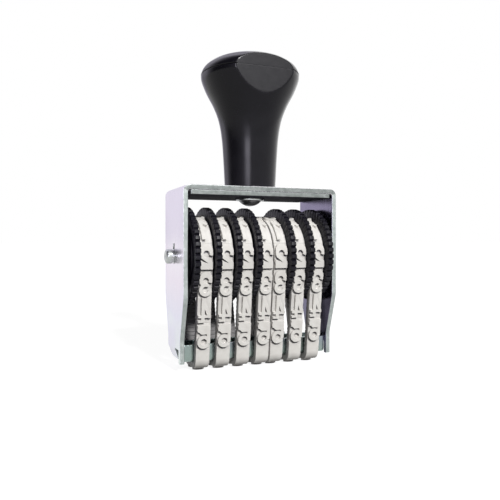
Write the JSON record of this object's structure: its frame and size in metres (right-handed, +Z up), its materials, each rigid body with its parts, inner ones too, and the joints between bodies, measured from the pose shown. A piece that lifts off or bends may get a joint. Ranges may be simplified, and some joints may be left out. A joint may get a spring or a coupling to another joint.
{
  "type": "band numbering stamp",
  "caption": "Hand numbering stamp: turned handle on a bent steel frame, toothed thumbwheels on one axle, each carrying a rubber band of mirrored figures.",
  "frame": {"origin": "on the paper under the middle of the axle, where the handle's axis meets the plane of the print face", "axes": "+X along the axle to the right as seen from the front, -Y the front, where the handle has its flat, +Z up the handle's axis"},
  "size_m": [0.0368, 0.0205, 0.0655],
  "materials": {
    "black_plastic": "satin, moulded",
    "wheel_plastic": "matte, moulded",
    "rubber": "matte, moulded, light grey",
    "zinc_plate": "bright zinc plated sheet with faint colours",
    "steel": "bright turned steel"
  },
  "bodies": {
    "frame": {"handle": "black_plastic", "handle_cap": "black_plastic", "handle_screw": "steel", "screw_washer": "steel", "frame_yoke": "zinc_plate", "backing_plate": "zinc_plate", "bridge": "zinc_plate", "axle": "steel", "axle_spacers": "steel", "number_band_1": "rubber", "number_band_2": "rubber", "number_band_3": "rubber", "number_band_4": "rubber", "number_band_5": "rubber", "number_band_6": "rubber", "number_band_7": "rubber"},
    "wheel_1": {"thumbwheel_1": "wheel_plastic"},
    "wheel_2": {"thumbwheel_2": "wheel_plastic"},
    "wheel_3": {"thumbwheel_3": "wheel_plastic"},
    "wheel_4": {"thumbwheel_4": "wheel_plastic"},
    "wheel_5": {"thumbwheel_5": "wheel_plastic"},
    "wheel_6": {"thumbwheel_6": "wheel_plastic"},
    "wheel_7": {"thumbwheel_7": "wheel_plastic"}
  },
  "joints": [
    {"name": "wheel_1_spin", "type": "hinge", "parent": "frame", "child": "wheel_1", "pos_m": [0, 0, 0.0228], "axis": [1, 0, 0], "continuous": true},
    {"name": "wheel_2_spin", "type": "hinge", "parent": "frame", "child": "wheel_2", "pos_m": [0, 0, 0.0228], "axis": [1, 0, 0], "continuous": true},
    {"name": "wheel_3_spin", "type": "hinge", "parent": "frame", "child": "wheel_3", "pos_m": [0, 0, 0.0228], "axis": [1, 0, 0], "continuous": true},
    {"name": "wheel_4_spin", "type": "hinge", "parent": "frame", "child": "wheel_4", "pos_m": [0, 0, 0.0228], "axis": [1, 0, 0], "continuous": true},
    {"name": "wheel_5_spin", "type": "hinge", "parent": "frame", "child": "wheel_5", "pos_m": [0, 0, 0.0228], "axis": [1, 0, 0], "continuous": true},
    {"name": "wheel_6_spin", "type": "hinge", "parent": "frame", "child": "wheel_6", "pos_m": [0, 0, 0.0228], "axis": [1, 0, 0], "continuous": true},
    {"name": "wheel_7_spin", "type": "hinge", "parent": "frame", "child": "wheel_7", "pos_m": [0, 0, 0.0228], "axis": [1, 0, 0], "continuous": true}
  ]
}
